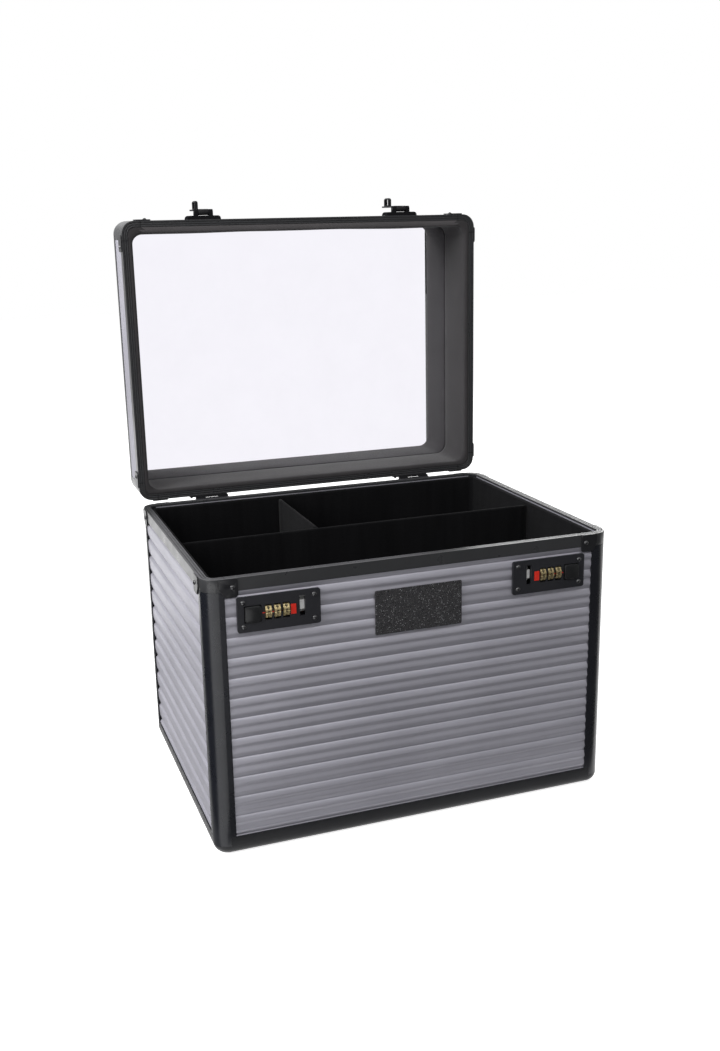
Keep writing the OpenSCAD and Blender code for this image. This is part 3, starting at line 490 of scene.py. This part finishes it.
def front_wall():
    """Ribbed sheet of the front wall, open behind both lock plates."""
    lo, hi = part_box("front_panel")
    flat = lo.y + FRONT_CREST_IN + max(height for _, height in FRONT_CURVE)
    end = CASE_W / 2 - POST_W - RIB_CLEAR
    holes = []
    for node in ("lock_case_left", "lock_case_right"):
        a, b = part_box(node)
        holes.append((a.x - HOLE_CLEAR, b.x + HOLE_CLEAR, a.z - HOLE_CLEAR, b.z + HOLE_CLEAR))
    xs = [lo.x, hi.x, -end - RIB_CLEAR, end + RIB_CLEAR]
    xs += [-end + 2 * end * j / RIB_COLUMNS for j in range(RIB_COLUMNS + 1)]
    zs = [lo.z, hi.z, RIB_LOW, RIB_HIGH, RIB_LOW - RIB_CLEAR, RIB_HIGH + RIB_CLEAR]
    zs += rib_heights(FRONT_RIB_TOP, [j / FRONT_STEPS for j in range(FRONT_STEPS)])
    # Grid lines are kept to the micrometre, so that two that fall together become one
    xs = sorted({round(x, 6) for x in xs + [x for hole in holes for x in hole[:2]]})
    zs = sorted({round(z, 6) for z in zs + [z for hole in holes for z in hole[2:]]})
    bm = bmesh.new()

    def face_y(x, z):
        ribbed = abs(x) < end + TOUCH and RIB_LOW - TOUCH < z < RIB_HIGH + TOUCH
        return flat - front_profile(FRONT_RIB_TOP - z) if ribbed else flat

    def solid(i, j):
        if not (0 <= i < len(xs) - 1 and 0 <= j < len(zs) - 1):
            return False
        x, z = (xs[i] + xs[i + 1]) / 2, (zs[j] + zs[j + 1]) / 2
        return not any(x0 < x < x1 and z0 < z < z1 for x0, x1, z0, z1 in holes)

    face = {(i, j): bm.verts.new((x, face_y(x, z), z)) for i, x in enumerate(xs) for j, z in enumerate(zs)}
    back = {(i, j): bm.verts.new((x, hi.y, z)) for i, x in enumerate(xs) for j, z in enumerate(zs)}
    for i in range(len(xs) - 1):
        for j in range(len(zs) - 1):
            if not solid(i, j):
                continue
            corners = ((i, j), (i + 1, j), (i + 1, j + 1), (i, j + 1))
            for grid in (face, back):
                bm.faces.new([grid[c] for c in corners])
            beside = ((i, j - 1), (i + 1, j), (i, j + 1), (i - 1, j))
            for cell, a, b in zip(beside, corners, corners[1:] + corners[:1]):
                if not solid(*cell):
                    bm.faces.new((face[a], face[b], back[b], back[a]))
    bmesh.ops.delete(bm, geom=[v for v in bm.verts if not v.link_faces], context="VERTS")
    crease(bm, FRONT_CREASE)
    obj = mesh_object("front_wall_sheet", bm, SHEET_FLAT, "case")
    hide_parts("front_panel")


# Felt linings
CORNER_STEPS, LONG_STEPS, SHORT_STEPS = 8, 58, 42
LINING_SOFT, LINING_WAVES, LINING_WAVES_Z = 0.0007, 14, 22
FACE_EDGE = 0.0002
LID_FELT_IN, LID_FELT_T, LID_LIP = 0.011, 0.0046, 0.0008
LID_FELT_R, LID_SHELL_R = 0.012, 0.0077
LID_FELT_CROWN, LID_FELT_LOW, LID_FELT_TOP = 0.0011, 0.0012, 0.0568
# How far the painted highlight on the lid lining's front lip reaches: in from the front, up from the rim, and
# short of the side ends
PAINTED_LIP_DEPTH, PAINTED_LIP_UP, PAINTED_LIP_END = 0.016, 0.0014, 0.022
LID_FELT_BACK = (  # outwards from the face, and up from the rim
    (0.0024, LID_FELT_TOP), (0.0024, 0.0518), (0.0048, 0.0515), (0.0048, 0.0027), (0.0045, 0.0025),
    (0.0045, 0.0007), (0.0042, 0.0004), (0.0024, 0.0003), (0.0009, 0.0005))
WALL_FELT_IN, WALL_FELT_T = 0.012, 0.0048
WALL_FELT_R, WALL_SHELL_R = 0.004, 0.0068
WALL_FELT_CROWN, WALL_FELT_LOW, WALL_FELT_TOP, WALL_ROLL_H = 0.0004, 0.0122, 0.2619, 0.0022
WALL_FELT_ROLL = (  # outwards from the face, and down from the top
    (0.0004, 0.0012), (0.0011, 0.0004), (0.0022, 0.0), (0.0040, 0.0), (0.0048, 0.0004))
BOARD_STEP, BOARD_ROWS, BOARD_ARC = 0.008, 14, (20, 45, 70, 90, 110, 135, 160)
BOARD_THIN, BOARD_SOFT, BOARD_WAVES = 0.94, 0.0003, (20, 300, 18)
PAD_COLUMNS, PAD_ROWS, PAD_SPREAD = 60, 44, 0.4985
PAD_POWER_X, PAD_POWER_Y = 24, 18
PAD_DROP, PAD_CROWN, PAD_UNDER = 0.0022, 0.0020, 0.0002
PAD_SOFT, PAD_WAVES = 0.0004, 16


def outline(half_w, half_d, r):
    """Points round a rounded rectangle, with the same count on each stretch whatever its size."""
    corners = []
    for k, (sx, sy) in enumerate(((1, 1), (-1, 1), (-1, -1), (1, -1))):
        turns = [math.radians(90 * k + 90 * j / CORNER_STEPS) for j in range(CORNER_STEPS + 1)]
        corners.append([Vector((sx * (half_w - r) + r * math.cos(a), sy * (half_d - r) + r * math.sin(a)))
                        for a in turns])
    points = []
    for k, corner in enumerate(corners):
        steps = (LONG_STEPS, SHORT_STEPS)[k % 2]
        following = corners[(k + 1) % 4][0]
        points += corner + [corner[-1].lerp(following, t / steps) for t in range(1, steps)]
    return points


def crowned(crown, z0, z1, count):
    """Inner face of a lining from z0 to z1, crown further in at the middle than at the ends."""
    points = []
    for j in range(count + 1):
        t = j / count
        share = 1 - abs(2 * t - 1) ** 3
        points.append((FACE_EDGE - crown * share, z0 + (z1 - z0) * t, share))
    return points


def swept_lining(name, inner, outer, depth, section, place, material, body):
    """Closed section of (outwards, height, wobble share) swept between two outlines that lie depth apart."""
    bm = bmesh.new()
    rings = []
    for p, q in zip(inner, outer):
        ring = []
        for out, z, share in section:
            wave = Vector((p.x * LINING_WAVES, p.y * LINING_WAVES, z * LINING_WAVES_Z))
            soft = LINING_SOFT * share * noise.noise(wave)
            at = p + (q - p) * ((out + soft) / depth)
            ring.append(bm.verts.new(place @ Vector((at.x, at.y, z))))
        rings.append(ring)
    bridge(bm, rings, closed=True)
    return mesh_object(name, bm, material, body)


def lid_lining():
    """Padded felt round the inside of the lid, rolled over the mirror's edge, with a painted highlight on the lip
    at the front: lighter felt there, for the light that its rolled edge catches.
    """
    rim_z = CASE_H + LID_GAP
    inner = outline(CASE_W / 2 - LID_FELT_IN, CASE_D / 2 - LID_FELT_IN - LID_LIP, LID_FELT_R)
    inner = [p + Vector((0, LID_LIP)) for p in inner]
    shell_in = LID_FELT_IN - LID_FELT_T
    outer = outline(CASE_W / 2 - shell_in, CASE_D / 2 - shell_in, LID_SHELL_R)
    section = crowned(LID_FELT_CROWN, rim_z + LID_FELT_LOW, rim_z + LID_FELT_TOP, count=14)
    section += [(out, rim_z + up, 0) for out, up in LID_FELT_BACK]
    obj = swept_lining("lid_lining_felt", inner, outer, LID_FELT_T, section, LID_POSE, FELT_GREY, "lid")
    # Painted highlight: faces of the front lip take the lighter copy of the grey felt
    obj.data.materials.append(FELT_PAINTED_LIT_LIP)
    closed = LID_POSE.inverted()
    for face in obj.data.polygons:
        at = closed @ face.center
        at_front = at.y < -CASE_D / 2 + PAINTED_LIP_DEPTH and abs(at.x) < CASE_W / 2 - PAINTED_LIP_END
        if at_front and at.z < rim_z + PAINTED_LIP_UP:
            face.material_index = 1
    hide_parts("lid_liner")


def wall_lining():
    """Black felt on the case's walls with a soft rolled top edge."""
    inner = outline(CASE_W / 2 - WALL_FELT_IN, CASE_D / 2 - WALL_FELT_IN, WALL_FELT_R)
    shell_in = WALL_FELT_IN - WALL_FELT_T
    outer = outline(CASE_W / 2 - shell_in, CASE_D / 2 - shell_in, WALL_SHELL_R)
    section = crowned(WALL_FELT_CROWN, WALL_FELT_LOW, WALL_FELT_TOP - WALL_ROLL_H, count=16)
    section += [(out, WALL_FELT_TOP - down, 0) for out, down in WALL_FELT_ROLL]
    section += [(WALL_FELT_T, WALL_FELT_LOW, 0)]
    obj = swept_lining("wall_lining_felt", inner, outer, WALL_FELT_T, section, Matrix.Identity(4), FELT_BLACK,
                       "case")
    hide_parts("wall_liner")


def felt_board(name, node, along):
    """Board covered with felt: round top edge, faces a little uneven."""
    lo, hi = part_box(node)
    mid = (lo + hi) / 2
    half_t = (hi.y - lo.y if along == "x" else hi.x - lo.x) / 2
    start, end = (lo.x, hi.x) if along == "x" else (lo.y, hi.y)
    rows = [lo.z + (hi.z - half_t - lo.z) * j / BOARD_ROWS for j in range(BOARD_ROWS + 1)]
    arc = [math.radians(a) for a in BOARD_ARC]
    section = [(half_t, z) for z in rows]
    section += [(half_t * math.cos(a), hi.z - half_t + half_t * math.sin(a)) for a in arc]
    section += [(-half_t, z) for z in reversed(rows)]
    bm = bmesh.new()
    rings = []
    count = int((end - start) / BOARD_STEP)
    for i in range(count + 1):
        s = start + (end - start) * i / count
        ring = []
        for off, z in section:
            wave = Vector([at * w for at, w in zip((s, off, z), BOARD_WAVES)])
            o = off * (BOARD_THIN + BOARD_SOFT * noise.noise(wave) / half_t)
            ring.append(bm.verts.new((s, mid.y + o, z) if along == "x" else (mid.x + o, s, z)))
        rings.append(ring)
    bridge(bm, rings)
    obj = mesh_object(name, bm, FELT_BLACK, "case")
    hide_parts(node)


def floor_felt():
    """Soft pad on the floor, crowned and pulled down along its edge."""
    lo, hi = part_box("floor_pad")
    bm = bmesh.new()
    nx, ny = PAD_COLUMNS, PAD_ROWS
    top, under = {}, {}
    for i in range(nx + 1):
        for j in range(ny + 1):
            u, v = 2 * i / nx - 1, 2 * j / ny - 1
            edge = (1 - abs(u) ** PAD_POWER_X) * (1 - abs(v) ** PAD_POWER_Y)
            x = lo.x + (hi.x - lo.x) * (0.5 + u * PAD_SPREAD)
            y = lo.y + (hi.y - lo.y) * (0.5 + v * PAD_SPREAD)
            soft = PAD_SOFT * (noise.noise(Vector((x * PAD_WAVES, y * PAD_WAVES, 1))) - 0.5)
            top[i, j] = bm.verts.new((x, y, hi.z - PAD_DROP + (PAD_CROWN + soft) * edge))
            under[i, j] = bm.verts.new((x, y, lo.z + PAD_UNDER))
    for i in range(nx):
        for j in range(ny):
            corners = ((i, j), (i + 1, j), (i + 1, j + 1), (i, j + 1))
            for grid in (top, under):
                bm.faces.new([grid[c] for c in corners])
    rim = [(i, 0) for i in range(nx)] + [(nx, j) for j in range(ny)]
    rim += [(nx - i, ny) for i in range(nx)] + [(0, ny - j) for j in range(ny)]
    for a, b in zip(rim, rim[1:] + rim[:1]):
        bm.faces.new((top[a], under[a], under[b], top[b]))
    obj = mesh_object("floor_pad_felt", bm, FELT_FLOOR_PAINTED_LIGHT, "case")
    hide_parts("floor_pad")


# Paint on the locks
PAINT = 0.00004
DIGIT_SIZE, DIGIT_BOLD, DIGIT_LIFT, DIGIT_EDGE = 0.0046, 0.00012, 0.00003, 0.0006
DIGITS = 10
MARK_HALF_H, MARK_LIFT, MARK_START = 0.00045, 0.00005, 0.0054
MARK_POINTS, MARK_POWER_X, MARK_POWER_Z = 20, 0.4, 0.5
DIAL_CLEAR = 0.0030
SIDES = {"left": -1, "right": 1}


def digit_mesh(text):
    """Flat mesh of one digit, fine enough to bend."""
    curve = bpy.data.curves.new("digit", "FONT")
    curve.body = text
    curve.size = DIGIT_SIZE
    curve.offset = DIGIT_BOLD
    curve.align_x = "CENTER"
    curve.align_y = "CENTER"
    curve.resolution_u = 3
    holder = bpy.data.objects.new("digit", curve)
    scene.collection.objects.link(holder)
    data = bpy.data.meshes.new_from_object(holder.evaluated_get(bpy.context.evaluated_depsgraph_get()))
    flat = bmesh.new()
    flat.from_mesh(data)
    bmesh.ops.triangulate(flat, faces=flat.faces)
    bmesh.ops.subdivide_edges(flat, edges=[e for e in flat.edges if e.calc_length() > DIGIT_EDGE], cuts=1)
    flat.verts.index_update()
    bpy.data.objects.remove(holder)
    bpy.data.curves.remove(curve)
    bpy.data.meshes.remove(data)
    return flat


def dial_digits(side, i):
    """Ten digits bent round one dial, one in every tenth of a turn."""
    x_mid = SIDES[side] * (LOCK_X - DIAL_X[i - 1])
    r = DIAL_R + DIGIT_LIFT
    bm = bmesh.new()
    for digit in range(DIGITS):
        flat = digit_mesh(str(digit))
        ys = [v.co.y for v in flat.verts]
        mid = (min(ys) + max(ys)) / 2
        made = []
        for v in flat.verts:
            a = -math.radians(360 / DIGITS * digit) + (v.co.y - mid) / DIAL_R
            made.append(bm.verts.new((x_mid + v.co.x, DIAL_Y - r * math.cos(a), LOCK_Z + r * math.sin(a))))
        for f in flat.faces:
            bm.faces.new([made[v.index] for v in f.verts])
        flat.free()
    bmesh.ops.remove_doubles(bm, verts=bm.verts, dist=1e-7)
    bmesh.ops.solidify(bm, geom=bm.faces[:], thickness=PAINT)
    mesh_object(f"digits_{side}_{i}", bm, INK, f"dial_{side}_{i}", smooth=False)


def index_marks(side):
    """Red paint marks in line with the dials' front digits."""
    bm = bmesh.new()
    first, second, third = DIAL_X
    for a, b in ((first - MARK_START, first - DIAL_CLEAR), (first + DIAL_CLEAR, second - DIAL_CLEAR),
                 (second + DIAL_CLEAR, third - DIAL_CLEAR)):
        x = SIDES[side] * (LOCK_X - (a + b) / 2)
        for v in bmesh.ops.create_circle(bm, cap_ends=True, segments=MARK_POINTS, radius=1)["verts"]:
            c, s = v.co.x, v.co.y
            v.co = (x + (b - a) / 2 * math.copysign(abs(c) ** MARK_POWER_X, c), LOCK_FACE - MARK_LIFT,
                    LOCK_Z + MARK_HALF_H * math.copysign(abs(s) ** MARK_POWER_Z, s))
    bmesh.ops.solidify(bm, geom=bm.faces[:], thickness=PAINT)
    mesh_object(f"index_marks_{side}", bm, RED, "case", smooth=False)


side_wall("left_wall_sheet", "left_panel", -1)
side_wall("right_wall_sheet", "right_panel", 1)
front_wall()
lid_lining()
wall_lining()
felt_board("long_divider_felt", "long_divider", "x")
felt_board("short_divider_felt", "short_divider", "y")
floor_felt()
for side in SIDES:
    for i in (1, 2, 3):
        dial_digits(side, i)
    index_marks(side)


# Stage and light
WHITE = (1.0, 1.0, 1.0)
FLOOR_HALF, FLOOR_Z = 6, -0.0003
CARD_CORNERS = ((0.19, 0.1525, 0.275), (-0.19, 0.1525, 0.275), (-0.19, 0.1545, 0.555), (0.19, 0.1545, 0.555))
FLAGS = {  # grey, corners
    "flag_over": (0.02, ((-2.8, -2.6, 0.05), (2.8, -2.6, 0.05), (2.8, -2.3, 2.3), (-2.8, -2.3, 2.3))),
    "flag_floor": (0.12, ((-0.20, -0.17, 0.001), (0.90, -0.17, 0.001), (1.30, -0.70, 0.001),
                          (-0.10, -0.70, 0.001))),
    "flag_front": (0.12, ((-0.10, -0.70, 0.0), (1.30, -0.70, 0.0), (1.30, -0.70, 0.42), (-0.10, -0.70, 0.42))),
    "flag_left": (0.03, ((-0.60, -0.30, 0.0), (-0.44, 0.40, 0.0), (-0.44, 0.40, 0.42), (-0.60, -0.30, 0.42))),
    "flag_back": (0.50, ((-1.20, 1.0, 0.22), (-0.25, 1.0, 0.22), (-0.25, 1.0, 0.75), (-1.20, 1.0, 0.75))),
    "flag_left_floor": (0.03, ((-0.235, -0.15, 0.001), (-0.44, 0.40, 0.001), (-0.60, -0.30, 0.001))),
    "flag_side_floor": (0.42, ((-0.205, -0.15, 0.001), (-0.205, 0.50, 0.001), (-0.44, 0.50, 0.001),
                               (-0.24, -0.15, 0.001))),
}


def seen_ray(tree):
    """1 for a ray that shows the studio: straight to the camera, in a gloss or through glass."""
    ray = add_node(tree, "ShaderNodeLightPath")
    total = ray.outputs["Is Camera Ray"]
    for kind in ("Is Glossy Ray", "Is Transmission Ray"):
        total = add_node(tree, "ShaderNodeMath", {0: total, 1: ray.outputs[kind]}, operation="MAXIMUM").outputs[0]
    return total


def stage_sheet(name, corners, material, gloss_only=True):
    """One flat face of the set."""
    bm = bmesh.new()
    bm.faces.new([bm.verts.new(c) for c in corners])
    data = bpy.data.meshes.new(name)
    bm.to_mesh(data)
    bm.free()
    data.materials.append(material)
    obj = bpy.data.objects.new(name, data)
    scene.collection.objects.link(obj)
    if gloss_only:
        for ray in ("camera", "diffuse", "transmission", "volume_scatter", "shadow"):
            setattr(obj, f"visible_{ray}", False)


def make_floor():
    """Floor that is white where it is seen, and throws less light up at the box than white would."""
    n = Nodes("floor_white")
    soft = n.new("ShaderNodeBsdfDiffuse", {"Color": (0.8, 0.8, 0.8)})
    glow = n.new("ShaderNodeEmission", {"Color": WHITE, "Strength": 0.76})
    white = n.new("ShaderNodeAddShader", {0: soft.outputs[0], 1: glow.outputs[0]})
    bounce = n.new("ShaderNodeBsdfDiffuse", {"Color": (0.3, 0.3, 0.3)})
    both = n.new("ShaderNodeMixShader", {"Fac": seen_ray(n.tree), 1: bounce.outputs[0], 2: white.outputs[0]})
    corners = [(x * FLOOR_HALF, y * FLOOR_HALF, FLOOR_Z) for x, y in ((-1, -1), (1, -1), (1, 1), (-1, 1))]
    stage_sheet("floor", corners, n.surface(both), gloss_only=False)


def make_card():
    """White card across the open lid, seen only in reflections, so that the mirror shows a white studio."""
    n = Nodes("card_white")
    glow = n.new("ShaderNodeEmission", {"Color": (0.955, 0.945, 0.985)})
    clear = n.new("ShaderNodeBsdfTransparent")
    back = n.new("ShaderNodeNewGeometry").outputs["Backfacing"]
    sides = n.new("ShaderNodeMixShader", {"Fac": back, 1: glow.outputs[0], 2: clear.outputs[0]})
    stage_sheet("reflection_card", CARD_CORNERS, n.surface(sides))


def make_flags():
    """Cards round the set, seen only in gloss, as a photographer stands them to keep black paint deep."""
    for name, (grey, corners) in FLAGS.items():
        material = Nodes(name).set(Base_Color=(0.0, 0.0, 0.0), Roughness=1.0, Specular_IOR_Level=0.0,
                                   Emission_Color=WHITE, Emission_Strength=grey)
        stage_sheet(name, corners, material)


def make_world():
    """White where it is seen, and a dim white light from all round."""
    world = bpy.data.worlds.new("studio")
    scene.world = world
    world.use_nodes = True
    tree = world.node_tree
    dim = tree.nodes["Background"]
    feed(tree, WHITE, dim.inputs["Color"])
    feed(tree, 0.3, dim.inputs["Strength"])
    white = add_node(tree, "ShaderNodeBackground", {"Color": WHITE, "Strength": 1.0})
    both = add_node(tree, "ShaderNodeMixShader", {"Fac": seen_ray(tree), 1: dim.outputs[0], 2: white.outputs[0]})
    feed(tree, both.outputs[0], tree.nodes["World Output"].inputs["Surface"])


def lamp(name, place, aim, size, power):
    data = bpy.data.lights.new(name, "AREA")
    data.shape = "RECTANGLE"
    data.size, data.size_y = size
    data.energy = power
    obj = bpy.data.objects.new(name, data)
    obj.location = place
    obj.rotation_euler = (Vector(aim) - Vector(place)).to_track_quat("-Z", "Y").to_euler()
    obj.visible_camera = False
    scene.collection.objects.link(obj)


make_floor()
make_card()
make_flags()
make_world()
lamp("key_left", place=(-1.75, -0.15, 1.15), aim=(-0.2, 0.0, 0.2), size=(1.8, 1.2), power=58)
lamp("front_top", place=(-0.35, -1.45, 1.55), aim=(0, -0.1, 0.2), size=(1.6, 1.1), power=18)
lamp("back_right", place=(1.35, 1.45, 1.35), aim=(0.05, 0.1, 0.2), size=(1.3, 0.9), power=26)
